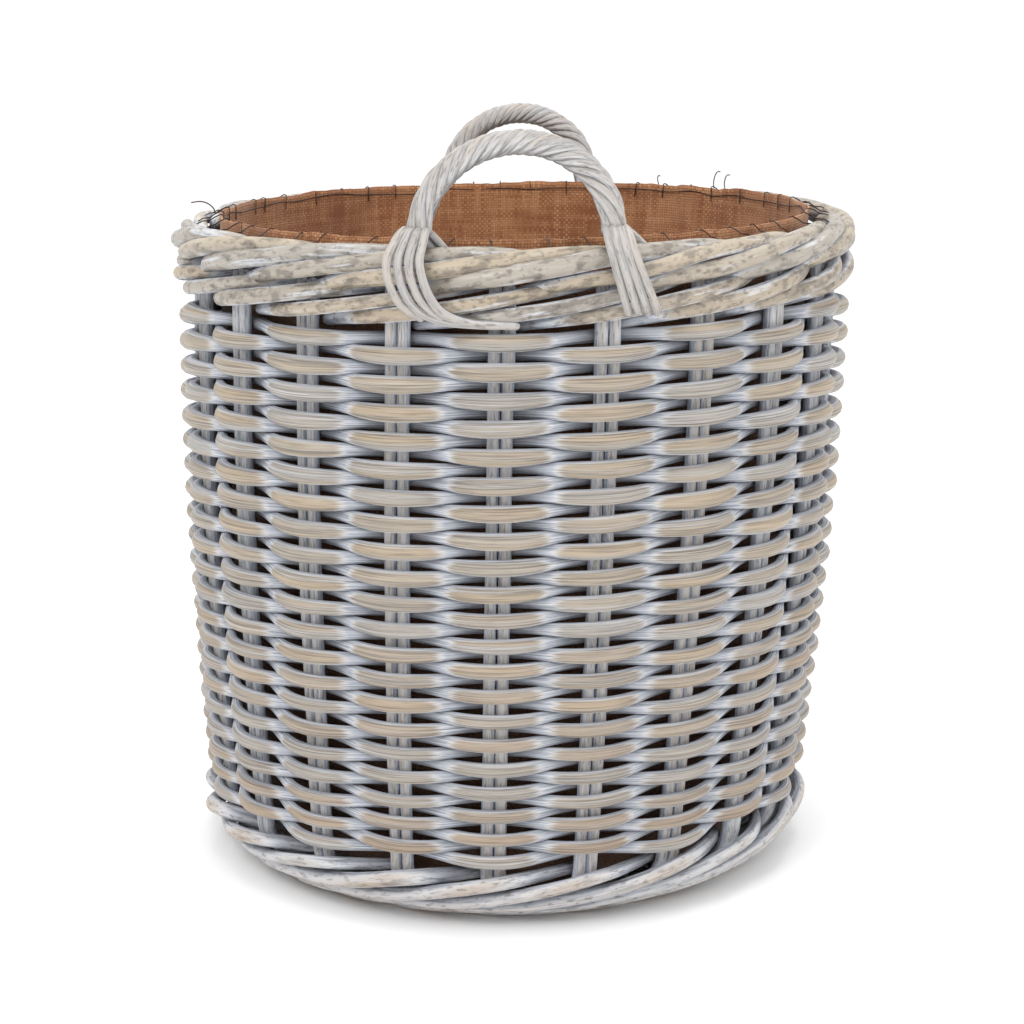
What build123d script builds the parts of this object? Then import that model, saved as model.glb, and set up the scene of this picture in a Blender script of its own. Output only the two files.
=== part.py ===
from build123d import *

import math
import os

# A round log basket woven from rattan rods on 21 pairs of stakes, with a rolled
# border, two rope-wrapped bow handles and a hessian liner wired in under the border.
# Millimetres, +Z up, origin at the centre of the base on the floor.
# Azimuths run anticlockwise seen from above, and -90 degrees is the front.

# Overall sizes
body_height = 493.5  # floor to the top of the border
top_stake_radius = 241  # ring of stake centres just under the border
foot_stake_radius = 224.5  # ring of stake centres where the side starts
side_bulge = 5.5  # how far the side swells out halfway up

# Stakes
stake_pairs = 21
first_stake_azimuth = -91.9
stake_diameter = 9
stake_bend_radius = 35  # where a stake turns in under the side to join the base

# Side weaving
rod_gaps = 22  # gaps that one weaver crosses, from behind a stake to behind a stake
low_pitch = 8.8  # rise of one turn at the foot of the side
high_pitch = 10.02  # rise of one turn at the top of the side
weave_start = 51  # height of the first weaver's first end
weave_start_place = -9  # the stake that the first weaver starts behind
outer_bend = 42
inner_bend = 60
corner_room = 3  # how far outside its reach a weaver's corner is taken to lie

# Bands of thicker rods
foot_diameter = 11
wale_diameter = 10
border_diameter = 10.4
band_bend = 30
foot_slack = 0.8  # room left where a foot rod passes the bend of the stakes
wale_drop = 47.3  # from the top of the border down to where a wale rod starts
border_out = 2  # how far the border stands outside the ring of stakes
floor_wear = 0.6  # depth of the flats worn under the lowest rods

# Base
base_stick_diameter = 9
sticks_each_way = 4
stick_room = 48.5  # from the end of a base stick out to the ring of stakes
stick_bend = 12
knee_spread = 1.2  # how far apart the sticks stand at the knee, in stick diameters
crossing_reach = 26  # half the length of stick that crosses the other set
knee_reach = 48  # where the sticks start to fan out
base_rod_diameter = 7
first_round_radius = 84
round_bend = 8
round_room = 1  # how far outside its reach a round's corner is taken to lie
stake_end_room = 38.5  # from the end of a stake under the base out to the ring of stakes

# Handles
handle_out = 3  # how far the handles stand outside the ring of stakes
front_half_width = 65  # half the width of a handle, to the middle of its core
back_half_width = 58
handle_core_diameter = 8
handle_strand_diameter = 4.4
handle_rise = 4  # from the border up to the level where the arch begins
handle_hem = 43.5  # how far down the outer strands reach below the top of the border
handle_tuck = 15  # how far down the inner strands reach inside the border
leg_bend = 8
core_end = 1  # how far the core reaches below the level where the arch begins

# Liner and its wire
cloth_thickness = 1.2
liner_rise = 3.5  # how far the cloth stands above the border
liner_top_room = 15  # from the top edge of the cloth out to the ring of stakes
corner_level = 62  # height where the cloth leaves the side to round the corner
corner_pinch = 8  # how far the cloth draws in round that corner
wire_diameter = 0.9
wire_loop_count = 48
wire_tail = 9  # how far a loop reaches down inside the cloth
wire_bend = 1.2
binding_drop = 5  # from the top edge of the cloth down to the running wire

# Clearances
rod_gap = 0.15  # between rods that lie against each other
round_gap = 0.45  # between the rounds of the base
under_gap = 1  # between the bend of a stake and the rods under it
stake_gap = 0.6  # between a stake and a rod bent round it
end_gap = 2.5  # between the ends of two rods that meet behind a stake
cloth_gap = 0.5

stake_radius = stake_diameter / 2
gap_angle = 360 / stake_pairs
border_radius = top_stake_radius + border_out
handle_radius = top_stake_radius + handle_out
liner_top_radius = top_stake_radius - liner_top_room
base_stick_reach = foot_stake_radius - stick_room
stake_end_radius = foot_stake_radius - stake_end_room
bend_centre_radius = foot_stake_radius - stake_bend_radius
base_reach = (base_stick_diameter + base_rod_diameter) / 2 + rod_gap
under_stake = stake_radius + rod_gap + foot_diameter / 2 + under_gap
base_level = under_stake + foot_diameter / 2 - floor_wear
bend_level = base_level + stake_bend_radius
stake_top = body_height - 26
wale_bottom = body_height - wale_drop

os.makedirs("parts", exist_ok=True)


def save(node, name):
    node.part.label = name
    export_step(node.part, f"parts/{name}.step")


def around(azimuth, radius, z):
    angle = math.radians(azimuth)
    return Vector(radius * math.cos(angle), radius * math.sin(angle), z)


def stake_azimuth(place):
    return first_stake_azimuth + place * gap_angle


def side_radius(z):
    """Radius of the ring of stake centres at a height on the side."""
    share = (z - bend_level) / (stake_top - bend_level)
    swell = 4 * side_bulge * share * (1 - share)
    return foot_stake_radius + share * (top_stake_radius - foot_stake_radius) + swell


def corner_cut(bend, turn):
    """How far an arc of this radius passes inside the corner that it rounds."""
    return bend * (1 / math.cos(math.radians(turn) / 2) - 1)


def round_pair(diameter, slope):
    """From the middle of a pair of stakes to a corner whose run slopes past the pair."""
    angle = math.radians(slope)
    away = stake_radius + diameter / 2 + stake_gap
    return away / math.cos(angle) + stake_radius * math.tan(angle)


def round_rod(points, bends, diameter):
    """A round rod along straight runs joined by tangent arcs."""
    with BuildPart() as rod:
        with BuildLine() as route:
            FilletPolyline(*points, radius=bends)
        with BuildSketch(Plane(origin=route.line @ 0, z_dir=route.line % 0)):
            Circle(diameter / 2)
        sweep()
    return rod.part


# ---------------------------------------------------------------- stakes


def stake(place, side):
    """One of a pair of stakes: under the base, round the bend and up the side."""
    azimuth = stake_azimuth(place)
    shift = side * (stake_radius + rod_gap / 2)
    tangent = around(azimuth + 90, 1, 0)
    plane = Plane(origin=tangent * shift, x_dir=around(azimuth, 1, 0), z_dir=-tangent)
    middle = (bend_level + stake_top) / 2
    with BuildPart() as rod:
        with BuildLine(plane) as route:
            Line((stake_end_radius, base_level), (bend_centre_radius, base_level))
            CenterArc((bend_centre_radius, bend_level), stake_bend_radius, -90, 90)
            ThreePointArc(
                (foot_stake_radius, bend_level),
                (side_radius(middle), middle),
                (side_radius(stake_top), stake_top),
            )
        with BuildSketch(Plane(origin=route.line @ 0, z_dir=route.line % 0)):
            Circle(stake_radius)
        sweep()
    return rod.part


with BuildPart() as left_stakes:
    for place in range(stake_pairs):
        add(stake(place, -1))
save(left_stakes, "left_stakes")

with BuildPart() as right_stakes:
    for place in range(stake_pairs):
        add(stake(place, 1))
save(right_stakes, "right_stakes")


# ---------------------------------------------------------------- side weaving

weave_rise = wale_bottom - (wale_diameter + high_pitch) / 2 - weave_start
middle_pitch = (low_pitch + high_pitch) / 2
weaver_count = int(weave_rise / middle_pitch * stake_pairs / rod_gaps)
turns_gaps = weaver_count * rod_gaps
turns = turns_gaps / stake_pairs


def weave_height(crossing):
    """Height of the spiral once it has crossed this many gaps."""
    turn = crossing / stake_pairs
    return weave_start + low_pitch * turn + (high_pitch - low_pitch) * turn**2 / (2 * turns)


def weave_pitch(crossing):
    return low_pitch + (high_pitch - low_pitch) * crossing / turns_gaps


def weaver(number):
    first = number * rod_gaps
    diameter = weave_pitch(first) - rod_gap
    reach = stake_radius + diameter / 2 + stake_gap
    run = 2 * math.pi * side_radius(weave_height(first)) / stake_pairs
    slope = math.degrees(math.atan(2 * (reach + corner_room) / run))
    outer_reach = reach + corner_cut(outer_bend, 2 * slope + gap_angle)
    inner_reach = reach + corner_cut(inner_bend, 2 * slope - gap_angle)
    points = []
    for crossing in range(first, first + rod_gaps + 1):
        z = weave_height(crossing)
        in_front = crossing % 2 == 1
        radius = side_radius(z) + (outer_reach if in_front else -inner_reach)
        azimuth = stake_azimuth(weave_start_place + crossing)
        points.append(around(azimuth, radius, z))
    ends = [(points[0], points[1]), (points[-1], points[-2])]
    starts = [end + (inward - end).normalized() * end_gap / 2 for end, inward in ends]
    points = [starts[0], *points[1:-1], starts[1]]
    bends = [outer_bend if i % 2 == 0 else inner_bend for i in range(rod_gaps - 1)]
    return round_rod(points, bends, diameter)


for number in range(weaver_count):
    with BuildPart() as weaver_rod:
        add(weaver(number))
    save(weaver_rod, f"weaver_{number + 1:02d}")


# ---------------------------------------------------------------- bands of thicker rods


def band(stations, diameter):
    """One rod from each stake, alike all round: each station is gaps passed, radius, z."""
    rods = []
    for place in range(stake_pairs):
        points = [
            around(stake_azimuth(place + passed), radius, z) for passed, radius, z in stations
        ]
        rods.append(round_rod(points, band_bend, diameter))
    return rods


def foot_station(passed, tilt, away):
    """A place beside the bend of the stakes, tilt degrees below the level of its centre."""
    radius = stake_bend_radius + away
    angle = math.radians(tilt)
    return (
        passed,
        bend_centre_radius + radius * math.cos(angle),
        bend_level - radius * math.sin(angle),
    )


foot_stations = [
    foot_station(0.1, 92, under_stake),
    foot_station(1, 75, under_stake),
    foot_station(2, 51, under_stake),
    foot_station(3, 36, under_stake + foot_slack),
    foot_station(4, 14, round_pair(foot_diameter, 28)),
    foot_station(5, 26, -under_stake - foot_slack),
]
with BuildPart() as foot_rods:
    add(band(foot_stations, foot_diameter))
    split(bisect_by=Plane.XY, keep=Keep.TOP)
save(foot_rods, "foot_rods")

in_front = round_pair(wale_diameter, 24)
behind = -round_pair(wale_diameter, 14)
wale_stations = []
for passed, away in [(0.5, -stake_gap), (1, in_front), (2, in_front), (3, behind)]:
    z = wale_bottom + (passed - 0.6) * (wale_diameter + 2 * rod_gap)
    wale_stations.append((passed, side_radius(z) + away, z))
with BuildPart() as wale_rods:
    add(band(wale_stations, wale_diameter))
save(wale_rods, "wale_rods")

border_stations = [
    (0.55, border_radius + 6.5, body_height - 22),
    (1, border_radius + 11.6, body_height - 18.5),
    (1.5, border_radius + 12, body_height - 12.5),
    (2, border_radius + 8.3, body_height - 7),
    (2.5, border_radius + 3.5, body_height - 5.3),
    (3, border_radius - 2.6, body_height - 6),
    (3.5, border_radius - 6.8, body_height - 10),
]
with BuildPart() as border_rods:
    add(band(border_stations, border_diameter))
save(border_rods, "border_rods")


# ---------------------------------------------------------------- base

arm_count = 4 * sticks_each_way
arm_angle = 360 / arm_count


def stick_arm(from_middle, share):
    """A place on the part of a stick that fans out, from its knee (0) to its end (1)."""
    knee = Vector(knee_reach, knee_spread * from_middle * base_stick_diameter, base_level)
    end = around(from_middle * arm_angle, base_stick_reach, base_level)
    return knee + (end - knee) * share


def base_stick(number, level):
    """One stick of a set that lies along X: straight through the middle, then fanned out."""
    from_middle = number - (sticks_each_way - 1) / 2
    beside = from_middle * (base_stick_diameter + rod_gap)
    half = [
        stick_arm(from_middle, 1),
        stick_arm(from_middle, 0),
        Vector(crossing_reach, beside, level),
    ]
    other_half = [Vector(-place.X, place.Y, place.Z) for place in reversed(half)]
    return round_rod(half + other_half, stick_bend, base_stick_diameter)


stick_step = (base_stick_diameter + rod_gap) / 2
with BuildPart() as base_sticks_lower:
    for number in range(sticks_each_way):
        add(base_stick(number, base_level - stick_step))
save(base_sticks_lower, "base_sticks_lower")

with BuildPart() as base_sticks_upper:
    for number in range(sticks_each_way):
        add(base_stick(number, base_level + stick_step), rotation=(0, 0, 90))
save(base_sticks_upper, "base_sticks_upper")


round_step = base_rod_diameter + round_gap
base_rounds = int((base_stick_reach - first_round_radius) / round_step)


def base_round(number):
    """A rod once round the base, over one arm and under the next, its ends meeting between two."""
    radius = first_round_radius + number * round_step
    run = 2 * math.pi * radius / arm_count
    slope = math.degrees(math.atan(2 * (base_reach + round_room) / run))
    cut = corner_cut(round_bend, 2 * slope)
    away = max(base_reach + cut, base_reach / math.cos(math.radians(slope))) + round_gap
    share = (radius - knee_reach) / (base_stick_reach - knee_reach)
    points = []
    for arm in range(arm_count):
        quarter = arm // sticks_each_way
        crossed = stick_arm(arm % sticks_each_way - (sticks_each_way - 1) / 2, share)
        azimuth = 90 * quarter + math.degrees(math.atan2(crossed.Y, crossed.X))
        over = 1 if (arm + number) % 2 == 0 else -1
        points.append(around(azimuth, radius, base_level + over * away))
    join = (points[0] + points[-1]) / 2
    short = (points[0] - points[-1]).normalized() * end_gap / 2
    return round_rod([join + short, *points, join - short], round_bend, base_rod_diameter)


with BuildPart() as base_rods:
    for number in range(base_rounds):
        add(base_round(number))
save(base_rods, "base_rods")


# ---------------------------------------------------------------- handles

spring_level = body_height + handle_rise
wrap_radius = (handle_core_diameter + handle_strand_diameter) / 2 + rod_gap
octagon = math.tan(math.radians(22.5))
arch_share = 0.94  # radius of the arc at the top of an arch, as a share of half its width
shoulder_share = 0.6


def arch_corners(half_width, out):
    """Four corners round a half circle, in a plane that faces out from the basket."""
    rise = spring_level + half_width * octagon
    top = spring_level + half_width
    inner = half_width * octagon
    return [
        (-half_width, out, rise),
        (-inner, out, top),
        (inner, out, top),
        (half_width, out, rise),
    ]


def facing(points, azimuth):
    """Turns (across, out, z) points to stand at an azimuth."""
    turned = []
    for across, out, z in points:
        side = around(azimuth + 90, across, 0)
        turned.append(around(azimuth, out, z) + side)
    return turned


def out_at(radius, across):
    """How far out a place stands that is this far across and at this radius."""
    return math.sqrt(radius**2 - across**2)


def handle_core(azimuth, core_width):
    out = out_at(handle_radius, core_width)
    foot = spring_level - core_end
    left = (-core_width, out, foot)
    right = (core_width, out, foot)
    points = facing([left, *arch_corners(core_width, out), right], azimuth)
    shoulder = shoulder_share * core_width
    arch = arch_share * core_width
    return round_rod(points, [shoulder, arch, arch, shoulder], handle_core_diameter)


def handle_strand(azimuth, core_width, turn, legs):
    """A strand laid along the core, turned so far round it, with two legs below the arch.

    Each place on a leg is how far it splays, its radius and its height.
    """
    wider = wrap_radius * math.cos(math.radians(turn))
    half_width = core_width + wider
    out = out_at(handle_radius, core_width) + wrap_radius * math.sin(math.radians(turn))
    corners = arch_corners(half_width, out)
    right = []
    for splay, radius, z in legs:
        across = half_width + splay
        right.append((across, out_at(radius, across), z))
    left = [(-across, out, z) for across, out, z in reversed(right)]
    leg_bends = [leg_bend] * (len(legs) - 1)
    shoulder = shoulder_share * core_width + wider
    arch = arch_share * core_width + wider
    bends = [*leg_bends, shoulder, arch, arch, shoulder, *leg_bends]
    points = facing([*left, *corners, *right], azimuth)
    return round_rod(points, bends, handle_strand_diameter)


outside_radius = border_radius + 12 + (border_diameter + handle_strand_diameter) / 2 + 0.5
inside_radius = liner_top_radius + handle_strand_diameter / 2 + cloth_gap
outside_legs = [
    (1, outside_radius, body_height - 1),
    (2, outside_radius, body_height - 24),
    (4, outside_radius - 2.4, body_height - handle_hem),
]
inside_legs = [
    (0, inside_radius, body_height + 1),
    (0, inside_radius, body_height - handle_tuck),
]
for name, azimuth, core_width in [
    ("front", -90, front_half_width),
    ("back", 90, back_half_width),
]:
    with BuildPart() as core:
        add(handle_core(azimuth, core_width))
    save(core, f"{name}_handle_core")
    with BuildPart() as outside_strands:
        for turn in (30, 90, 150):
            add(handle_strand(azimuth, core_width, turn, outside_legs))
    save(outside_strands, f"{name}_handle_outer_strands")
    with BuildPart() as inside_strands:
        for turn in (210, 270, 330):
            add(handle_strand(azimuth, core_width, turn, inside_legs))
    save(inside_strands, f"{name}_handle_inner_strands")


# ---------------------------------------------------------------- liner

liner_floor = base_level + base_reach + base_rod_diameter / 2 + cloth_gap
liner_top = body_height + liner_rise
neck = wale_bottom + wale_diameter
liner_inset = wale_diameter / 2 - behind


def cloth_radius(z):
    return side_radius(z) - liner_inset


corner_radius = cloth_radius(corner_level)
foot_radius = corner_radius - corner_pinch
middle = (corner_level + neck) / 2


def cloth_profile(inward):
    """The side of the liner from its foot to its top edge, drawn this far inside its outer face."""
    Line((foot_radius - inward, liner_floor), (corner_radius - inward, corner_level))
    ThreePointArc(
        (corner_radius - inward, corner_level),
        (cloth_radius(middle) - inward, middle),
        (cloth_radius(neck) - inward, neck),
    )
    Line((cloth_radius(neck) - inward, neck), (liner_top_radius - inward, liner_top))


with BuildPart() as liner_side:
    with BuildSketch(Plane.XZ):
        with BuildLine():
            cloth_profile(0)
            cloth_profile(cloth_thickness)
            Line((foot_radius, liner_floor), (foot_radius - cloth_thickness, liner_floor))
            Line((liner_top_radius, liner_top), (liner_top_radius - cloth_thickness, liner_top))
        make_face()
    revolve(axis=Axis.Z)
save(liner_side, "liner_side")

with BuildPart() as liner_bottom:
    with BuildSketch(Plane.XY.offset(liner_floor)):
        Circle(foot_radius - cloth_thickness - rod_gap)
    extrude(amount=cloth_thickness)
save(liner_bottom, "liner_bottom")


# ---------------------------------------------------------------- wire

wire_inside = liner_top_radius - cloth_thickness - wire_diameter / 2 - rod_gap
over_cloth = liner_top + wire_diameter / 2 + rod_gap
over_border = body_height + wire_diameter / 2 + 2 * rod_gap
with BuildPart() as wire_loops:
    for number in range(wire_loop_count):
        azimuth = (number + 0.5) * 360 / wire_loop_count
        points = [
            around(azimuth, wire_inside, liner_top - wire_tail),
            around(azimuth, wire_inside, over_cloth),
            around(azimuth, liner_top_radius + 3, over_cloth),
            around(azimuth, border_radius - 4, over_border),
            around(azimuth, border_radius + 4, over_border),
        ]
        add(round_rod(points, wire_bend, wire_diameter))
save(wire_loops, "wire_loops")

with BuildPart() as binding_wire:
    with BuildSketch(Plane.XZ):
        with Locations((wire_inside - wire_diameter - rod_gap, liner_top - binding_drop)):
            Circle(wire_diameter / 2)
    revolve(axis=Axis.Z)
save(binding_wire, "binding_wire")
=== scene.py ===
import math

import bmesh
import bpy
import numpy as np
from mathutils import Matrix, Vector, noise


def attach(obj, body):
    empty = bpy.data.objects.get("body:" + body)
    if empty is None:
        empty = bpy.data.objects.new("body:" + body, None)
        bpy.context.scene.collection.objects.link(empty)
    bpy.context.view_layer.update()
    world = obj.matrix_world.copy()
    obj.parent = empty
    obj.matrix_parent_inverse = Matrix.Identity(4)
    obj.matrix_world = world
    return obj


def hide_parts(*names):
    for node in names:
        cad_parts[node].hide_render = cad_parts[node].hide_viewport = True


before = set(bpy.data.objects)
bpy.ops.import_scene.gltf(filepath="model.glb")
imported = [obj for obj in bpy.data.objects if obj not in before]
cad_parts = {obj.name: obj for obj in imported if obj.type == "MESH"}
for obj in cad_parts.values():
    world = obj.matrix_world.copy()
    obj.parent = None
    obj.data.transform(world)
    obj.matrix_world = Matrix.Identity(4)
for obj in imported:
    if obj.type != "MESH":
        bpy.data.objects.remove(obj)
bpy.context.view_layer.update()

scene = bpy.context.scene
scene.view_settings.view_transform = "Standard"
scene.view_settings.look = "None"

# Lengths are millimetres until a point is made, azimuths are degrees and -90 is the front.
basket = {
    "stakes": 21,  # pairs of stakes
    "firstStake": -91.9,
    "footRadius": 224.5,  # ring of stakes where the side starts
    "topRadius": 241,  # ring of stakes under the border
    "bulge": 22,
    "footLevel": 51.05,
    "stakeTop": 467.5,
    "stakeRadius": 4.5,
    "lean": 0.019,  # how far the side leans to the right for each unit of height
    "rimTilt": 0.011,  # the right of the rim stands this much higher
}
gapAngle = 360 / basket["stakes"]


def around(azimuth, radius, z):
    angle = math.radians(azimuth)
    return Vector((radius * math.cos(angle), radius * math.sin(angle), z)) / 1000


def stakeAzimuth(place):
    return basket["firstStake"] + place * gapAngle


def sideRadius(z):
    share = (z - basket["footLevel"]) / (basket["stakeTop"] - basket["footLevel"])
    rise = basket["topRadius"] - basket["footRadius"]
    return basket["footRadius"] + share * rise + basket["bulge"] * share * (1 - share)


def sway(seed, place, reach):
    return reach * noise.noise(Vector((place, seed * 7.31, 0.5)))


def through(stations, place):  # smooth curve through rows of numbers, the first of each its place
    count = len(stations)
    at = max(i for i in range(count - 1) if i == 0 or stations[i][0] <= place)
    before, start, end, after = (stations[min(max(at + i, 0), count - 1)] for i in (-1, 0, 1, 2))
    span = end[0] - start[0]
    t = (place - start[0]) / span
    values = []
    for i in range(1, len(start)):
        leave = (end[i] - before[i]) / (end[0] - before[0]) * span
        arrive = (after[i] - start[i]) / (after[0] - start[0]) * span
        values.append(
            start[i] * (2 * t**3 - 3 * t**2 + 1)
            + leave * (t**3 - 2 * t**2 + t)
            + end[i] * (3 * t**2 - 2 * t**3)
            + arrive * (t**3 - t**2)
        )
    return values


def tipped(path, widths):  # rounds both ends with a few closer points
    path, widths = list(path), list(widths)
    for end in (0, -1):
        tip, width = path[end], widths[end]
        inward = (path[1 if end == 0 else -2] - tip).normalized()
        extra = [(share * width, width * math.sqrt(1 - (1 - share) ** 2)) for share in (0.02, 0.2, 0.55, 1)]
        more = [tip + inward * far for far, _ in extra], [wide for _, wide in extra]
        if end == 0:
            path, widths = more[0] + path[1:], more[1] + widths[1:]
        else:
            path, widths = path[:-1] + more[0][::-1], widths[:-1] + more[1][::-1]
    return path, widths


def rodMesh(path, widths, number, sides=12):
    curve = bpy.data.curves.new("rod", "CURVE")
    curve.dimensions = "3D"
    curve.bevel_depth = 1
    curve.bevel_resolution = sides // 2 - 2
    curve.use_fill_caps = True
    spline = curve.splines.new("POLY")
    spline.points.add(len(path) - 1)
    for spot, place, width in zip(spline.points, path, widths):
        spot.co = (*place, 1)
        spot.radius = width
    holder = bpy.data.objects.new("rod", curve)
    mesh = bpy.data.meshes.new_from_object(holder)
    bpy.data.objects.remove(holder)
    bpy.data.curves.remove(curve)
    length = sum((b - a).length for a, b in zip(path, path[1:]))
    layer = mesh.uv_layers[0].uv
    flat = np.zeros(len(layer) * 2, np.float32)
    layer.foreach_get("vector", flat)
    flat[0::2] = np.clip(flat[0::2], 0, 0.9999) + number  # whole part: which rod, the rest: how far round it
    flat[1::2] *= length
    layer.foreach_set("vector", flat)
    return mesh


def settle(mesh):  # the basket leans a little and its rim isn't quite level
    co = np.zeros(len(mesh.vertices) * 3)
    mesh.vertices.foreach_get("co", co)
    co = co.reshape(-1, 3)
    co[:, 2] += basket["rimTilt"] * co[:, 0] * np.clip(co[:, 2] / 0.5, 0, 1)
    co[:, 0] += basket["lean"] * co[:, 2]
    co[:, 2] = np.maximum(co[:, 2], 0)
    mesh.vertices.foreach_set("co", co.ravel())


def piece(name, meshes, finish, nodes=()):
    joined = bmesh.new()
    for mesh in meshes:
        joined.from_mesh(mesh)
        bpy.data.meshes.remove(mesh)
    whole = bpy.data.meshes.new(name)
    joined.to_mesh(whole)
    joined.free()
    settle(whole)
    whole.materials.append(finish)
    made = bpy.data.objects.new(name, whole)
    scene.collection.objects.link(made)
    if nodes:
        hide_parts(*nodes)
    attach(made, "root")
    return made


def paint(code):  # a colour as it is written in a drawing program
    parts = [int(code[i : i + 2], 16) / 255 for i in (0, 2, 4)]
    linear = [c / 12.92 if c <= 0.04045 else ((c + 0.055) / 1.055) ** 2.4 for c in parts]
    return (*linear, 1)


class Field:  # a socket that takes part in sums
    def __init__(self, finish, socket):
        self.finish, self.socket = finish, socket

    def work(self, operation, *values):
        return self.finish.node("Math", {"operation": operation}, dict(enumerate(values)))

    def apply(self, operation):
        return self.work(operation, self)

    def __add__(self, other):
        return self.work("ADD", self, other)

    def __sub__(self, other):
        return self.work("SUBTRACT", self, other)

    def __rsub__(self, other):
        return self.work("SUBTRACT", other, self)

    def __mul__(self, other):
        return self.work("MULTIPLY", self, other)

    def __truediv__(self, other):
        return self.work("DIVIDE", self, other)

    def __pow__(self, other):
        return self.work("POWER", self, other)

    __radd__ = __add__
    __rmul__ = __mul__

    def rise(self, low, high):  # smooth step from 0 at low to 1 at high
        return self.finish.node(
            "MapRange", {"interpolation_type": "SMOOTHSTEP"}, {0: self, 1: low, 2: high, 3: 0.0, 4: 1.0}
        )


class Finish:
    def __init__(self, name):
        self.material = bpy.data.materials.new(name)
        self.material.use_nodes = True
        self.tree = self.material.node_tree
        self.tree.nodes.clear()

    def node(self, kind, settings, values, output=0):
        made = self.tree.nodes.new("ShaderNode" + kind)
        for key, value in settings.items():
            setattr(made, key, value)
        for key, value in values.items():
            if isinstance(value, Field):
                self.tree.links.new(value.socket, made.inputs[key])
            else:
                made.inputs[key].default_value = value
        return Field(self, made.outputs[output])

    def split(self, vector):
        first = self.node("SeparateXYZ", {}, {0: vector})
        return [Field(self, socket) for socket in first.socket.node.outputs]

    def vector(self, x, y, z):
        return self.node("CombineXYZ", {}, {0: x, 1: y, 2: z})

    def noise(self, place, scale, seed=0.0, detail=2.0, rough=0.5):
        values = {"Vector": place, "W": seed, "Scale": scale, "Detail": detail, "Roughness": rough}
        return self.node("TexNoise", {"noise_dimensions": "4D"}, values, "Fac")

    def tint(self, factor, under, over):
        return self.node("Mix", {"data_type": "RGBA"}, {0: factor, 6: under, 7: over}, 2)

    def cover(self, colour, roughness, height, distance, strength=1.0, **fixed):
        bump = self.node("Bump", {}, {"Height": height, "Distance": distance, "Strength": strength})
        values = {"Base Color": colour, "Roughness": roughness, "Normal": bump}
        for key, value in fixed.items():
            values[key.replace("_", " ")] = value
        shader = self.node("BsdfPrincipled", {}, values)
        last = self.tree.nodes.new("ShaderNodeOutputMaterial")
        self.tree.links.new(shader.socket, last.inputs["Surface"])
        return self.material


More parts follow.
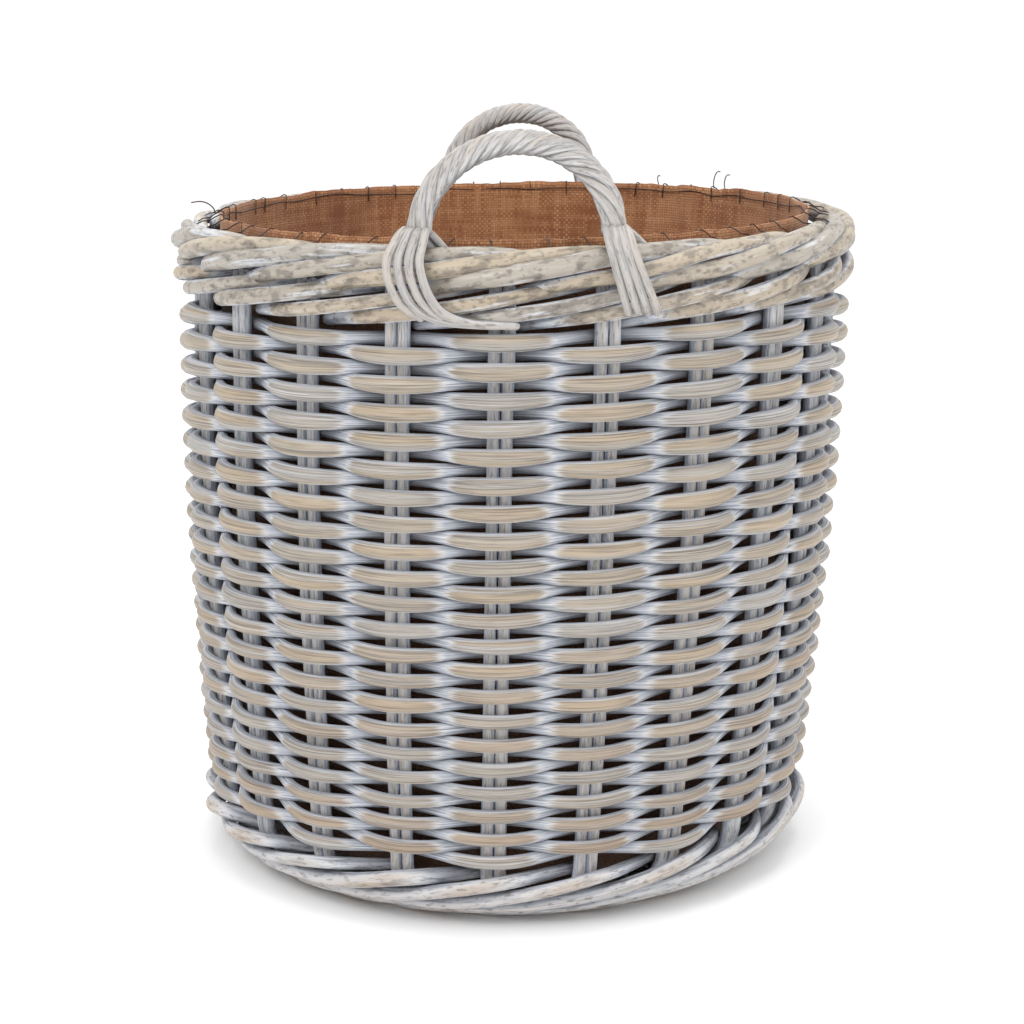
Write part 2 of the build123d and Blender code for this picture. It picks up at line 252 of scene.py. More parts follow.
def rodFinish(name, looks):
    f = Finish(name)
    turn, along, _ = f.split(f.node("UVMap", {"uv_map": "UVMap"}, {}))
    rod = turn.apply("FLOOR")
    angle = (turn - rod) * (2 * math.pi)
    cosine, sine = angle.apply("COSINE"), angle.apply("SINE")
    place = f.node("TexCoord", {}, {}, "Object")
    x, y, z = f.split(place)
    x = x - basket["lean"] * z
    radius = (x * x + y * y) ** 0.5
    nx, ny, nz = f.split(f.node("NewGeometry", {}, {}, "Normal"))
    facing = (nx * x + ny * y) / radius
    if looks["wear"] == "side":  # how far the surface stands out from the ring of stakes
        foot, span = basket["footLevel"] / 1000, (basket["stakeTop"] - basket["footLevel"]) / 1000
        share = (z - foot) / span
        rise = (basket["topRadius"] - basket["footRadius"]) / 1000
        ring = basket["footRadius"] / 1000 + share * rise + basket["bulge"] / 1000 * share * (1 - share)
        stand = (radius - ring) * 1000
    else:  # or from the middle of a band
        across, up = radius - looks["bandRadius"] / 1000, z - looks["bandLevel"] / 1000
        stand = ((across * across + up * up) ** 0.5) * 1000
        facing = (across * facing + up * nz) * 1000 / stand
    seed = rod * 3.17 + looks["seed"]
    streakPlace = f.vector(cosine * 3.1, sine * 3.1, along * 19)
    streak = f.noise(streakPlace, 1.0, seed, 3.0, 0.6)
    fibre = f.noise(f.vector(cosine * 8, sine * 8, along * 42), 1.0, seed, 3.0, 0.6)
    patch = f.noise(f.vector(cosine * 0.9, sine * 0.9, along * 34), 1.0, seed + 5, 3.0, 0.6)
    whole = f.noise(f.vector(0.3, 0.7, along * 2.2), 1.0, rod * 11.7 + looks["seed"], 1.0)
    pits = f.noise(f.vector(cosine * 5, sine * 5, along * 190), 1.0, seed + 9, 3.0, 0.65)
    worn = (stand + (patch - 0.5) * looks["ragged"] + (streak - 0.5) * 5).rise(*looks["standFrom"])
    worn = worn * (facing + (streak - 0.5) * 0.9 + (patch - 0.5) * 0.7).rise(*looks["facingFrom"])
    worn = worn * (patch + (whole - 0.5) * 0.5).rise(0.22, 0.42) * looks["wornMost"]
    bare = f.tint(whole.rise(0.38, 0.62), looks["bareGrey"], looks["bareTan"])
    bare = f.tint(patch.rise(0.5, 0.75) * 0.5, bare, looks["barePale"])
    low = 1 - z.rise(0.05, 0.3)
    bare = f.tint(low * 0.5 * whole.rise(0.4, 0.55), bare, looks["bareRed"])
    bare = f.tint(streak.rise(0.48, 0.62) * 0.62, bare, looks["bareDark"])
    wash = f.tint(patch.rise(0.35, 0.65), looks["limeGrey"], looks["limeWhite"])
    wash = f.tint(streak.rise(0.52, 0.72) * looks["stained"], wash, looks["limeStain"])
    edge = worn * (1 - worn) * 4  # thickest lime where the wear stops
    wash = f.tint(edge * 0.7, wash, looks["limeThick"])
    colour = f.tint(worn, wash, bare)
    growth = along * 3.1 + rod * 0.37  # a joint, where a leaf grew, at each half
    joint = 1 - (growth - growth.apply("FLOOR") - 0.5).apply("ABSOLUTE").rise(0.002, 0.007)
    colour = f.tint(joint * 0.5, colour, looks["knot"])
    colour = f.tint(fibre.rise(0.52, 0.66) * 0.55, colour, looks["grain"])
    crack = pits.rise(0.66, 0.74)
    colour = f.tint(crack * 0.4, colour, looks["knot"])
    # painted shade: the colour darkens the deeper the surface sits, in the hollows and gaps between rods
    recessShade = 1 - stand.rise(*looks["deepFrom"])
    colour = f.tint(recessShade * looks["recessShadeStrength"], colour, looks["recessShadeColour"])
    gloss = looks["rough"] + 0.28 * (1 - worn) + 0.12 * (fibre - 0.5)
    height = streak * 0.5 + fibre * 0.35 + edge * 0.25 - crack * 0.8 + joint * 0.5
    return f.cover(colour, gloss, height, 0.0006, looks["relief"], Specular_IOR_Level=looks["shine"])


woodLooks = {
    "wear": "side",
    "seed": 0.0,
    "standFrom": (4.0, 9.0),  # millimetres beyond the ring of stakes
    "facingFrom": (0.2, 0.75),
    "deepFrom": (-9.0, 3.0),
    # strength of the painted shade in the hollows between rods
    "recessShadeStrength": 0.45,
    "ragged": 9,
    "wornMost": 0.92,
    "stained": 0.45,
    "rough": 0.42,
    "relief": 0.8,
    "shine": 0.5,
    "bareGrey": paint("978f84"),
    "bareTan": paint("a29076"),
    "barePale": paint("b4ada1"),
    "bareDark": paint("544b40"),
    "bareRed": paint("99806a"),
    "limeGrey": paint("868b94"),
    "limeWhite": paint("cacdd5"),
    "limeThick": paint("e6e9ee"),
    "limeStain": paint("565458"),
    "knot": paint("40352c"),
    "grain": paint("4e4740"),
    # colour of the painted shade in the hollows between rods
    "recessShadeColour": paint("3e3a3c"),
}
weaverFinish = rodFinish("limedWeaver", woodLooks)
stakeFinish = rodFinish(
    "limedStake",
    {
        **woodLooks,
        "standFrom": (2.0, 4.2),
        "facingFrom": (0.4, 0.9),
        "deepFrom": (-9.0, -1.0),
        "wornMost": 0.6,
        "stained": 0.5,
        "ragged": 7,
        "seed": 31.0,
        "limeGrey": paint("989ea9"),
    },
)
waleFinish = rodFinish(
    "limedWale",
    {
        **woodLooks,
        "standFrom": (2.0, 9.0),
        "seed": 57.0,
        "bareTan": paint("a39279"),
    },
)
footFinish = rodFinish(
    "limedFoot",
    {
        **woodLooks,
        "wear": "band",
        "bandRadius": 207,
        "bandLevel": 42,
        "standFrom": (26.0, 40.0),
        "facingFrom": (0.1, 0.7),
        "deepFrom": (20.0, 36.0),
        "seed": 83.0,
        "bareTan": paint("a08a6c"),
    },
)
borderFinish = rodFinish(
    "limedBorder",
    {
        **woodLooks,
        "wear": "band",
        "bandRadius": 243,
        "bandLevel": 478,
        "standFrom": (7.0, 14.0),
        "facingFrom": (0.15, 0.7),
        "deepFrom": (2.0, 8.0),
        "seed": 101.0,
        "bareTan": paint("ab9b82"),
    },
)

print("finishes made")

weaving = {
    "rodCount": 39,
    "rodGaps": 22,
    "lowPitch": 8.8,
    "highPitch": 10.02,
    "start": 51,
    "startPlace": -9,
    "steps": 12,  # points to a gap between stakes
    "frontLow": 1.1,  # thickness in front of a stake, as a share of the pitch
    "frontHigh": 1.3,
    "rodChange": 0.1,  # how much thickness changes from rod to rod, and along a rod
    "swelling": 0.12,
    "wander": 0.9,  # up and down, and in and out
    "outWander": 0.7,
    "slack": 0.1,
    "clear": 0.8,
}


def weaveHeight(crossing):
    turn = crossing / basket["stakes"]
    growth = (weaving["highPitch"] - weaving["lowPitch"]) / (2 * weavingTurns)
    return weaving["start"] + weaving["lowPitch"] * turn + growth * turn**2


weavingTurns = weaving["rodCount"] * weaving["rodGaps"] / basket["stakes"]
for number in range(weaving["rodCount"]):
    first = number * weaving["rodGaps"]
    share = number / weaving["rodCount"]
    pitch = weaving["lowPitch"] + (weaving["highPitch"] - weaving["lowPitch"]) * share
    fat = weaving["frontLow"] + (weaving["frontHigh"] - weaving["frontLow"]) * min(1, share * 1.6)
    fat *= 1 + sway(number, 3.3, weaving["rodChange"])
    path, widths = [], []
    for step in range(weaving["rodGaps"] * weaving["steps"] + 1):
        place = first + step / weaving["steps"]
        front = -math.cos(math.pi * place)
        z = weaveHeight(place) + sway(number + 50, place * 0.9, weaving["wander"])
        swelling = sway(number, place * 0.55, weaving["swelling"])
        thick = (pitch - weaving["slack"]) * (1 + (fat - 1) * max(0, front) + swelling)
        reach = basket["stakeRadius"] + pitch / 2 + weaving["clear"]
        out = reach * front + sway(number + 90, place * 0.8, weaving["outWander"])
        path.append(around(stakeAzimuth(place + weaving["startPlace"]), sideRadius(z) + out, z))
        widths.append(thick / 2000)
    label = f"{number + 1:02d}"
    rod = rodMesh(*tipped(path, widths), number)
    piece("weaverRod_" + label, [rod], weaverFinish, ["weaver_" + label])
print("side woven")

stakes = {
    "width": 9,
    "bend": 35,
    "level": 16.05,
    "endRadius": 186,
    "apart": 4.6,  # from the middle of a pair
    "swelling": 0.12,
    "wander": 0.5,
}

for side, node in ((-1, "left_stakes"), (1, "right_stakes")):
    meshes = []
    for place in range(basket["stakes"]):
        azimuth = stakeAzimuth(place)
        aside = around(azimuth + 90, side * stakes["apart"], 0)
        profile = [(stakes["endRadius"], stakes["level"])]
        centre = basket["footRadius"] - stakes["bend"]
        for turned in range(0, 91, 10):
            angle = math.radians(turned)
            across, down = stakes["bend"] * math.sin(angle), stakes["bend"] * math.cos(angle)
            profile.append((centre + across, basket["footLevel"] - down))
        for step in range(1, 41):
            z = basket["footLevel"] + (basket["stakeTop"] + 2 - basket["footLevel"]) * step / 40
            profile.append((sideRadius(z), z))
        path = [around(azimuth, radius, z) + aside for radius, z in profile]
        seed = place * 2 + side
        widths = [stakes["width"] / 2000 * (1 + sway(seed, z * 0.02, stakes["swelling"])) for _, z in profile]
        sways = [around(azimuth + 90, sway(seed, z * 0.012, stakes["wander"]), 0) for _, z in profile]
        path = [spot + swayed for spot, swayed in zip(path, sways)]
        meshes.append(rodMesh(*tipped(path, widths), place))
    piece(node + "_limed", meshes, stakeFinish, [node])
print("stakes standing")

foot = {"width": 11, "centre": 189.5, "bend": 35}
wale = {"width": 10.8, "bottom": 445.6, "rise": 10.3}
border = {"width": 11.6, "radius": 243}


def footStation(passed, tilt, away):
    radius, angle = foot["bend"] + away, math.radians(tilt)
    return passed, foot["centre"] + radius * math.cos(angle), basket["footLevel"] - radius * math.sin(angle)


footStations = [
    footStation(0.1, 92, 11.15),
    footStation(1, 75, 11.15),
    footStation(2, 51, 11.15),
    footStation(3, 36, 11.95),
    footStation(4, 14, 13.9),
    footStation(5, 26, -11.9),
]
waleStations = []
for passed, away in ((0.1, -10), (0.5, -1), (1, 12.2), (2, 12.4), (3, -10.8), (3.3, -10.8)):
    z = wale["bottom"] + (passed - 0.6) * wale["rise"]
    waleStations.append((passed, sideRadius(z) + away, z))
borderStations = [
    (-0.05, border["radius"] - 2, 458),
    (0.3, border["radius"] + 2.5, 466.5),
    (0.65, border["radius"] + 8.5, 472),
    (1, border["radius"] + 11.6, 475.2),
    (1.5, border["radius"] + 12, 481.2),
    (2, border["radius"] + 8.3, 486.6),
    (2.5, border["radius"] + 3.5, 488.4),
    (3, border["radius"] - 2.6, 487.8),
    (3.5, border["radius"] - 6.8, 483.8),
]


def bandOf(stations, settings, finish, name, node, seed, taper, sides=14):
    meshes = []
    first, last = stations[0][0], stations[-1][0]
    steps = int((last - first) * 12)
    for place in range(basket["stakes"]):
        path, widths = [], []
        thick = settings["width"] * (1 + sway(seed + place, 0.7, 0.22))
        for step in range(steps + 1):
            passed = first + (last - first) * step / steps
            radius, z = through(stations, passed)
            z += sway(seed + place, passed * 1.1, 1.6)
            radius += sway(seed + place + 40, passed * 1.1, 1.0)
            path.append(around(stakeAzimuth(place + passed), radius, z))
            end = min(passed - first, last - passed)
            full = taper + (1 - taper) * min(1, end / 0.6)
            widths.append(thick / 2000 * full * (1 + sway(place, passed, 0.08)))
        meshes.append(rodMesh(*tipped(path, widths), place, sides))
    return piece(name, meshes, finish, [node])


bandOf(footStations, foot, footFinish, "footBand", "foot_rods", 11, 0.8)
bandOf(waleStations, wale, waleFinish, "waleBand", "wale_rods", 23, 0.85)
bandOf(borderStations, border, borderFinish, "borderBand", "border_rods", 35, 0.72)
print("bands laid")


def baseFinish(name, tan, lime):
    f = Finish(name)
    place = f.node("TexCoord", {}, {}, "Object")
    broad = f.noise(place, 14.0, 1.0, 3.0)
    fine = f.noise(place, 420.0, 2.0, 3.0, 0.6)
    x, y, z = f.split(place)
    grain = f.noise(f.vector(x * 3, y * 3, z * 1.2), 160.0, 4.0, 2.0)
    worn = (broad + (fine - 0.5) * 0.5).rise(0.4, 0.6)
    colour = f.tint(worn, lime, tan)
    colour = f.tint(grain.rise(0.5, 0.72) * 0.55, colour, paint("6f6052"))
    return f.cover(colour, 0.6 + 0.2 * (fine - 0.5), grain + fine * 0.4, 0.0005, 0.5)


baseRodFinish = baseFinish("limedBaseRods", paint("ad9476"), paint("b2b2b2"))
baseStickFinish = baseFinish("limedBaseSticks", paint("a08669"), paint("a5a5a4"))
for node, finish in (
    ("base_rods", baseRodFinish),
    ("base_sticks_lower", baseStickFinish),
    ("base_sticks_upper", baseStickFinish),
):
    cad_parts[node].data.materials.clear()
    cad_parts[node].data.materials.append(finish)
print("base finished")

handles = {
    "level": 497.5,
    "out": 235.2,
    "wrap": 5.8,
    "width": 6.3,
    "turns": 3,
    "core": 7.6,
    "archStart": 4,  # from the level up to where the strands' arch begins
    "easing": 0.09,  # how much less the rope is wound near its ends
    "legWidth": 0.84,
    "archExtra": 0.16,
    "legShare": 0.16,
    "pegRadius": 0.0026,
}
handleLooks = {
    **woodLooks,
    "wear": "band",
    "bandRadius": 235,
    "bandLevel": 480,
    "standFrom": (6.0, 12.0),
    "facingFrom": (-0.6, 0.5),
    "deepFrom": (1.0, 4.0),
    # only a little painted shade in the hollows of the handles
    "recessShadeStrength": 0.1,
    "ragged": 30,
    "wornMost": 0.62,
    "seed": 140.0,
    "rough": 0.5,
    "stained": 0.7,
    "limeGrey": paint("767372"),
    "limeWhite": paint("a9a7a7"),
    "barePale": paint("9c9388"),
    "bareGrey": paint("857d74"),
    "bareTan": paint("918069"),
}
handleFinish = rodFinish("limedCane", handleLooks)
# painted shade: a darker, warmer copy of the cane finish makes the back handle look shaded
shadedBackHandleFinish = rodFinish(
    "limedCaneShadedBack",
    {
        **handleLooks,
        "seed": 171.0,
        "limeGrey": paint("6f6963"),
        "limeWhite": paint("948d86"),
    },
)


def turnedTo(azimuth, across, out, z):
    return around(azimuth, out, z) + around(azimuth + 90, across, 0)


def archHeight(reach, arch):
    return handles["level"] + handles["archStart"] + (reach - handles["archStart"]) * math.sin(arch)


def strandPath(azimuth, turn, leftLeg, rightLeg, radius, shift):
    spots = []
    for across, out, z in reversed(leftLeg):
        spots.append(turnedTo(azimuth, across, out, z))
    steps = 64
    for step in range(steps + 1):
        share = step / steps
        arch = math.pi * (1 - share)
        eased = share - handles["easing"] * math.sin(2 * math.pi * share)
        phase = math.radians(turn) - 2 * math.pi * handles["turns"] * eased
        reach = radius + handles["wrap"] * math.cos(phase)
        across = reach * math.cos(arch) + shift
        z = archHeight(reach, arch)
        spots.append(turnedTo(azimuth, across, handles["out"] + handles["wrap"] * math.sin(phase), z))
    for across, out, z in rightLeg:
        spots.append(turnedTo(azimuth, across, out, z))
    return spots


def smoothed(spots, step=0.0035):  # even points on a soft curve through the spots
    curve = bpy.data.curves.new("path", "CURVE")
    curve.dimensions = "3D"
    spline = curve.splines.new("NURBS")
    spline.points.add(len(spots) - 1)
    for spot, place in zip(spline.points, spots):
        spot.co = (*place, 1)
    spline.order_u = 3
    spline.use_endpoint_u = True
    spline.resolution_u = 6
    holder = bpy.data.objects.new("path", curve)
    mesh = bpy.data.meshes.new_from_object(holder)
    line = [v.co.copy() for v in mesh.vertices]
    bpy.data.objects.remove(holder)
    bpy.data.curves.remove(curve)
    bpy.data.meshes.remove(mesh)
    even, left = [line[0]], step
    for a, b in zip(line, line[1:]):
        far = (b - a).length
        while far >= left > 0:
            a = a + (b - a).normalized() * left
            even.append(a)
            far -= left
            left = step
        left -= far
    if (line[-1] - even[-1]).length > step * 0.4:
        even.append(line[-1])
    return even


outerTurns = (0, 60, 120, 180)
innerTurns = (240, 300)


def legOf(table, share):  # one strand's leg, from the table of the first and last strands' places
    return [(first + (last - first) * share, out, z) for z, out, first, last in table]


def handle(name, azimuth, finish, shift, legs, seed):
    for inside, turns, node in ((False, outerTurns, "outer"), (True, innerTurns, "inner")):
        meshes = []
        for index, turn in enumerate(turns):
            share = index / (len(turns) - 1)
            left = legOf(legs["leftInside" if inside else "left"], share)
            right = legOf(legs["rightInside" if inside else "right"], share)
            if not inside and index % 2 == 1:
                left = left + legOf(legs["leftTail"], share)
            line = smoothed(strandPath(azimuth, turn, left, right, legs["radius"], shift))
            widths = []
            for step in range(len(line)):
                share = step / (len(line) - 1)
                fromEnd = min(1, min(share, 1 - share) / handles["legShare"])
                thin = handles["legWidth"] + handles["archExtra"] * fromEnd
                widths.append(handles["width"] / 2000 * thin * (1 + sway(seed + turn, step * 0.07, 0.16)))
            meshes.append(rodMesh(*tipped(line, widths), index + (10 if inside else 0), 12))
        if not inside and legs["peg"]:
            peg = [turnedTo(azimuth, *spot) for spot in legs["peg"]]
            meshes.append(rodMesh(*tipped(peg, [handles["pegRadius"]] * len(peg)), 25))
        piece(f"{name}Handle_{node}Strands", meshes, finish, [f"{name}_handle_{node}_strands"])
    core = []
    for step in range(41):
        arch = math.pi * (1 - step / 40)
        across = legs["radius"] * math.cos(arch) + shift
        core.append(turnedTo(azimuth, across, handles["out"], archHeight(legs["radius"], arch)))
    core = [core[0] - Vector((0, 0, 0.005)), *core, core[-1] - Vector((0, 0, 0.005))]
    mesh = rodMesh(core, [handles["core"] / 2000] * len(core), 30, 10)
    piece(f"{name}Handle_coreRod", [mesh], finish, [f"{name}_handle_core"])


frontLegs = {  # height, how far out, then how far across the first and the last strand stand
    "radius": 65,
    "left": [
        (507, 241, -74, -60),
        (499, 252, -80, -61),
        (487, 263.5, -86, -64),
        (469, 265, -82, -59),
        (455, 262, -73, -51),
        (448, 257.5, -60, -40),
    ],
    "leftTail": [(444, 256.5, -40, -24), (443, 255.5, -16, 4)],
    "right": [
        (507, 241, 73, 60),
        (499, 252, 76, 61),
        (487, 263.5, 80, 64.5),
        (469, 265, 88, 70),
        (455, 262, 94, 74.5),
        (450, 255, 95, 76),
    ],
    "leftInside": [(506, 232, -61, -69), (497, 229.5, -52, -60), (485, 229, -42, -50)],
    "rightInside": [(506, 232, 64, 71), (497, 229.5, 74, 82), (485, 229, 86, 94)],
    "peg": [(-68, 247, 480), (-67, 250.5, 494), (-66, 248, 506)],
}
backLegs = {
    "radius": 58,
    "left": [
        (507, 241, -67, -53),
        (499, 252, -71, -55),
        (487, 263.5, -75, -58),
        (469, 265, -79, -59),
        (455, 262, -81, -61),
        (450, 255, -81, -62),
    ],
    "leftTail": [(448, 253, -79, -63)],
    "right": [
        (507, 241, 67, 53),
        (499, 252, 71, 55),
        (487, 263.5, 75, 58),
        (469, 265, 79, 59),
        (455, 262, 81, 61),
        (450, 255, 81, 62),
    ],
    "leftInside": [(506, 232, -54, -62), (497, 229.5, -56, -65), (485, 229, -58, -69)],
    "rightInside": [(506, 232, 54, 62), (497, 229.5, 56, 65), (485, 229, 58, 69)],
    "peg": [],
}
handle("front", -90, handleFinish, 0.5, frontLegs, 3)
handle("back", 90, shadedBackHandleFinish, -3, backLegs, 5)
print("handles wrapped")

cloth = {
    "thread": 0.00205,  # middle to middle of two threads
    "inset": 16.6,
    "floor": 28.2,
    "neck": 456.2,
    "top": 497,
    "topRadius": 225.4,
    "corner": 62,
    "pinch": 8,
    "seam": 48,  # azimuth of the lapped seam
    "thick": 0.0011,
    "uvRadius": 0.216,
    "liner": (1.44, 0.47),  # flat sizes in metres
    "bottom": (0.398, 0.398),
    "bottomArea": 0.1235,
}


def hessianFinish(name):
    f = Finish(name)
    u, v, _ = f.split(f.node("UVMap", {"uv_map": "UVMap"}, {}))
    place = f.node("TexCoord", {}, {}, "Object")
    wobble = (f.noise(place, 60.0, 1.0, 2.0) - 0.5) * 0.0016
    sag = (f.noise(place, 45.0, 6.0, 2.0) - 0.5) * 0.0016
    u, v = (u + wobble) / cloth["thread"], (v + sag) / cloth["thread"]
    column, row = u.apply("FLOOR"), v.apply("FLOOR")
    fromWarp, fromWeft = (u - column - 0.5).apply("ABSOLUTE"), (v - row - 0.5).apply("ABSOLUTE")
    warpWidth = 0.36 + 0.1 * (f.noise(f.vector(column * 0.71, v * 0.12, 0.0), 1.0, 2.0) - 0.5) * 2
    weftWidth = 0.37 + 0.12 * (f.noise(f.vector(u * 0.1, row * 0.83, 0.0), 1.0, 4.0) - 0.5) * 2
    warp = 1 - (fromWarp / warpWidth).rise(0.75, 1.1)
    weft = 1 - (fromWeft / weftWidth).rise(0.75, 1.1)
    checker = (column + row) * 0.5
    over = (checker - checker.apply("FLOOR")).rise(0.2, 0.3)  # 1 where the warp lies on top
    roundWarp = warp * (0.55 + 0.45 * over)
    roundWeft = weft * (1.0 - 0.45 * over)
    height = roundWarp.work("MAXIMUM", roundWarp, roundWeft)
    tuft = f.noise(f.vector(column * 0.37 + 3, v * 0.05, row * 0.01), 1.0, 8.0, 2.0)
    slub = f.noise(f.vector(u * 0.04, row * 0.41 + 3, column * 0.01), 1.0, 9.0, 2.0)
    shade = (tuft * over + slub * (1 - over)).rise(0.3, 0.7)
    colour = f.tint(shade, paint("8a5636"), paint("b98860"))
    stain = f.noise(place, 11.0, 3.0, 4.0, 0.6)
    colour = f.tint(stain.rise(0.5, 0.72) * 0.55, colour, paint("6f3f26"))
    smudge = f.noise(f.vector(u * 0.011, v * 0.05, 0.0), 1.0, 12.0, 3.0, 0.6).rise(0.6, 0.74)
    colour = f.tint(smudge * 0.55 * height, colour, paint("cdb8a4"))
    # painted shade: dark brown at the edges of the threads and in the gaps between them
    colour = f.tint((1 - height.rise(0.1, 0.62)) * 0.88, colour, paint("2e1a10"))
    x, y, z = f.split(place)
    nx, ny, _ = f.split(f.node("NewGeometry", {}, {}, "Normal"))
    outside = ((nx * x + ny * y) / ((x * x + y * y) ** 0.5 + 0.001)).rise(0.1, 0.6)
    outside = outside * (1 - z.rise(0.455, 0.475))  # what shows through the side is in shade
    colour = f.tint(outside * 0.8, colour, paint("2b1a12"))
    fuzz = f.noise(place, 900.0, 5.0, 2.0)
    relief = height + fuzz * 0.25
    dull = 0.9 + 0.1 * (fuzz - 0.5)
    return f.cover(colour, dull, relief, 0.0007, 0.9, Specular_IOR_Level=0.15, Sheen_Weight=0.2)


hessian = hessianFinish("hessian")


def clothRadius(z):
    return sideRadius(z) - cloth["inset"]


def clothUv(shell, flat):  # metres along the threads, cut at the seam
    layer = shell.loops.layers.uv.new("UVMap")
    seam = math.radians(cloth["seam"])
    for face in shell.faces:
        centre = face.calc_center_median()
        middle = (math.atan2(centre.y, centre.x) - seam) % (2 * math.pi)
        for loop in face.loops:
            spot = loop.vert.co
            if flat:
                loop[layer].uv = (spot.x, spot.y)
            else:
                angle = (math.atan2(spot.y, spot.x) - seam) % (2 * math.pi)
                angle += 2 * math.pi * round((middle - angle) / (2 * math.pi))
                loop[layer].uv = (angle * cloth["uvRadius"], spot.z)


def spun(profile, steps):
    shell = bmesh.new()
    spots = [shell.verts.new(spot) for spot in profile]
    edges = [shell.edges.new(pair) for pair in zip(spots, spots[1:])]
    bmesh.ops.spin(
        shell,
        geom=[*spots, *edges],
        cent=(0, 0, 0),
        axis=(0, 0, 1),
        angle=2 * math.pi,
        steps=steps,
        use_merge=True,
    )
    bmesh.ops.remove_doubles(shell, verts=shell.verts, dist=1e-6)
    bmesh.ops.recalc_face_normals(shell, faces=shell.faces)
    return shell


def clothPiece(name, shell, node):
    mesh = bpy.data.meshes.new(name)
    shell.to_mesh(mesh)
    shell.free()
    for face in mesh.polygons:
        face.use_smooth = True
    made = piece(name, [mesh], hessian, [node])
    wall = made.modifiers.new("wall", "SOLIDIFY")
    wall.thickness = cloth["thick"]
    wall.offset = -1
    return made


rows = []
for step in range(5):
    z = cloth["floor"] + 0.6 + (cloth["corner"] - cloth["floor"] - 0.6) * step / 4
    rows.append((clothRadius(cloth["corner"]) - cloth["pinch"] * (1 - step / 4) ** 1.5, z))
for step in range(1, 33):
    z = cloth["corner"] + (cloth["neck"] - cloth["corner"]) * step / 32
    rows.append((clothRadius(z), z))
for step in range(1, 13):
    share = step / 12
    radius = clothRadius(cloth["neck"]) + (cloth["topRadius"] - clothRadius(cloth["neck"])) * share
    rows.append((radius, cloth["neck"] + (cloth["top"] - cloth["neck"]) * share))
profile = [around(0, radius, z) for radius, z in rows]
shell = spun(profile, 288)
clothUv(shell, False)
for spot in shell.verts:
    azimuth = math.degrees(math.atan2(spot.co.y, spot.co.x))
    level = spot.co.z * 1000
    high = min(1, max(0, (level - 300) / 190))
    fold = noise.noise(Vector((spot.co.x * 16, spot.co.y * 16, spot.co.z * 4)))
    ripple = noise.noise(Vector((spot.co.x * 45 + 9, spot.co.y * 45, spot.co.z * 16)))
    inward = 1.0 + 3.2 * high * fold + (0.6 + 1.1 * high) * ripple
    lap = (azimuth - cloth["seam"] + 180) % 360 - 180
    inward += 1.6 * math.exp(-((lap / 3.2) ** 4))
    out = Vector((spot.co.x, spot.co.y, 0)).normalized()
    spot.co -= out * max(0, inward) / 1000
    if level > 488:
        ragged = noise.noise(Vector((spot.co.x * 30, spot.co.y * 30, 3)))
        fine = noise.noise(Vector((spot.co.x * 160, spot.co.y * 160, 8)))
        spot.co.z += (1.8 * ragged + 0.9 * fine) / 1000 * (level - 488) / 9
linerSide = clothPiece("linerSideCloth", shell, "liner_side")

bottomRadius = clothRadius(cloth["corner"]) - cloth["pinch"] - 1.5
shell = spun([around(0, bottomRadius * step / 34, cloth["floor"] + 0.4) for step in range(35)], 144)
clothUv(shell, True)
for spot in shell.verts:
    ripple = noise.noise(Vector((spot.co.x * 14, spot.co.y * 14, 1)))
    small = noise.noise(Vector((spot.co.x * 40, spot.co.y * 40, 5)))
    reach = min(1, (bottomRadius / 1000 - math.hypot(spot.co.x, spot.co.y)) / 0.03)
    spot.co.z += max(0, 0.9 + 1.8 * ripple + 0.7 * small) / 1000 * max(0, reach)
linerBottom = clothPiece("linerBottomCloth", shell, "liner_bottom")
print("liner hung")

wire = {
    "width": 0.95,
    "loops": 48,
    "runningRadius": 221.4,
    "runningLevel": 492,
    "looseEnds": ((41, 8, 6), (44, 10, 9), (178, 5, 12), (58, 4, 8)),  # azimuth, rise and reach
}
f = Finish("agedWire")
place = f.node("TexCoord", {}, {}, "Object")
rust = f.noise(place, 180.0, 2.0, 3.0).rise(0.45, 0.62)
colour = f.tint(rust, paint("3a3734"), paint("4a2f22"))
wireFinish = f.cover(colour, 0.38 + 0.4 * rust, rust, 0.0001, 0.4, Metallic=0.75)


def wireMesh(spots, number):
    return rodMesh(spots, [wire["width"] / 2000] * len(spots), number, 6)


meshes = []
for number in range(wire["loops"]):
    azimuth = (number + 0.5) * 360 / wire["loops"] + sway(number, 0.3, 3.5)
    slant = sway(number, 5.3, 2.2)
    length = sway(number, 9.1, 4)
    spots = [
        around(azimuth - slant * 0.3, 222.5, 486),
        around(azimuth, 222.6, 497.5),
        around(azimuth, 225, 498.0),
        around(azimuth + slant * 0.3, 229, 496.2),
        around(azimuth + slant * 0.6, 233, 493.6),
        around(azimuth + slant, 238 + length, 493.2),
        around(azimuth + slant * 1.1, 242 + length, 491.0),
    ]
    meshes.append(wireMesh(spots, number))
for azimuth, rise, reach in wire["looseEnds"]:
    spots = [
        around(azimuth, 232, 496),
        around(azimuth + 0.6, 233, 500),
        around(azimuth + 1.2, 236 + reach * 0.5, 500 + rise),
        around(azimuth + 1.5, 238 + reach, 498 + rise),
    ]
    meshes.append(wireMesh(smoothed(spots, 0.002), 60 + azimuth))
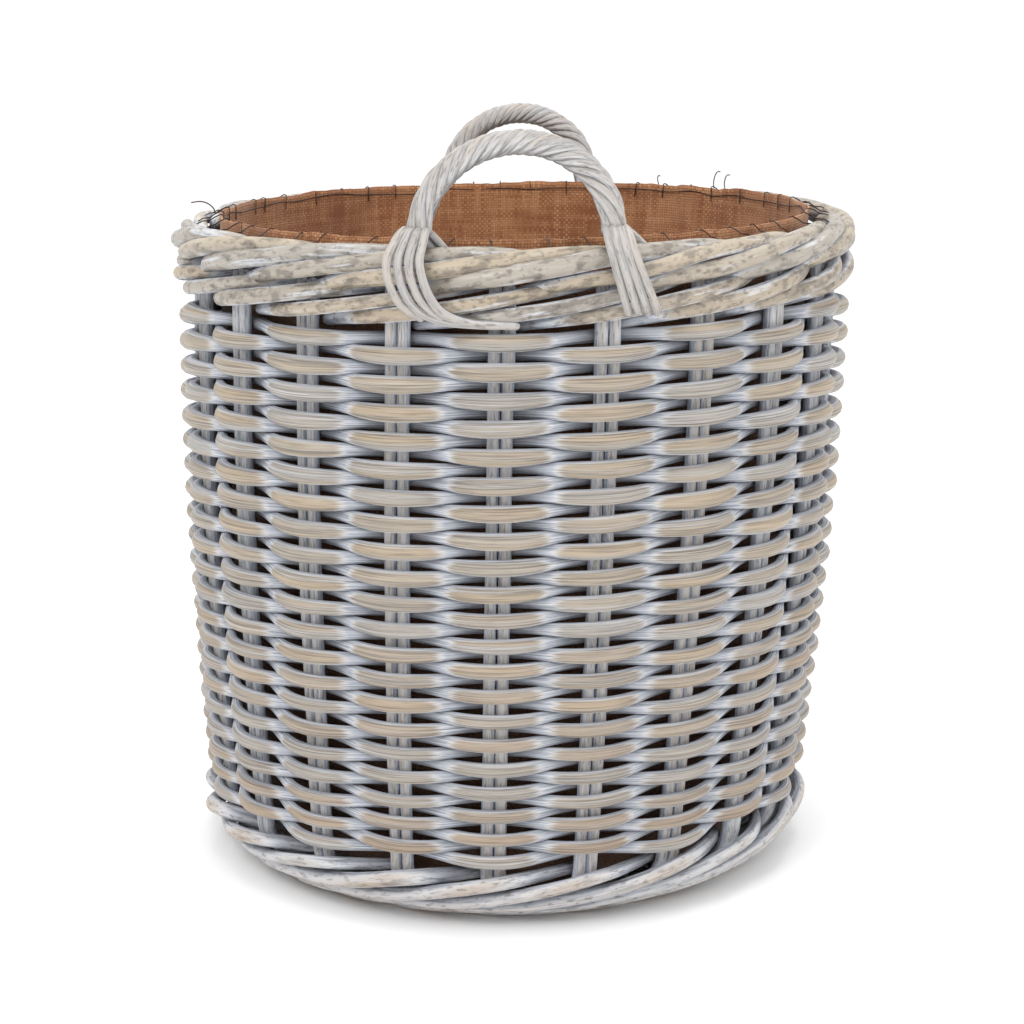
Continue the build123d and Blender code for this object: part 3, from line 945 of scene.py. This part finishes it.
wireLoops = piece("wireLoops", meshes, wireFinish, ["wire_loops"])

steps = 260
line = []
for step in range(steps + 1):
    azimuth = 360 * step / steps - 90
    angle = math.radians(azimuth)
    wave = noise.noise(Vector((math.cos(angle) * 6, math.sin(angle) * 6, 0)))
    line.append(around(azimuth, wire["runningRadius"] + 0.5 * wave, wire["runningLevel"] + 3.2 * wave))
runningWire = piece("runningWire", [wireMesh(line, 0)], wireFinish, ["binding_wire"])
print("wire laced")

floorSize = 30
bpy.ops.mesh.primitive_grid_add(x_subdivisions=2, y_subdivisions=2, size=floorSize)
floor = bpy.context.object
floor.name = "floor"
f = Finish("paleFloor")
place = f.node("TexCoord", {}, {}, "Object")
mottle = f.noise(place, 3.0, 1.0, 3.0)
colour = f.tint(mottle * 0.5, paint("fafafa"), paint("fdfdfd"))
floor.data.materials.append(f.cover(colour, 0.75 + 0.05 * mottle, mottle, 0.0002, 0.1))

world = bpy.data.worlds.new("studio")
world.use_nodes = True
world.node_tree.nodes["Background"].inputs["Color"].default_value = (1, 1, 1, 1)
world.node_tree.nodes["Background"].inputs["Strength"].default_value = 1.06
scene.world = world

lamps = {
    "key": {"place": (-1.4, -2.0, 2.3), "size": 1.4, "power": 34},
    "fill": {"place": (1.9, -1.5, 1.5), "size": 1.6, "power": 15},
    "top": {"place": (0.1, 0.3, 2.6), "size": 1.6, "power": 26},
}
target = Vector((0, 0, 0.27))
for name, lamp in lamps.items():
    light = bpy.data.lights.new(name, "AREA")
    light.size = lamp["size"]
    light.energy = lamp["power"]
    holder = bpy.data.objects.new(name, light)
    holder.location = lamp["place"]
    holder.rotation_euler = (target - Vector(lamp["place"])).to_track_quat("-Z", "Y").to_euler()
    scene.collection.objects.link(holder)

view = bpy.data.cameras.new("view")
view.lens = 79.23
view.sensor_width = 36
camera = bpy.data.objects.new("view", view)
camera.location = (0.007, -1.74, 0.664)
camera.rotation_euler = (math.radians(90 - 13.18), 0, 0)
scene.collection.objects.link(camera)
scene.camera = camera
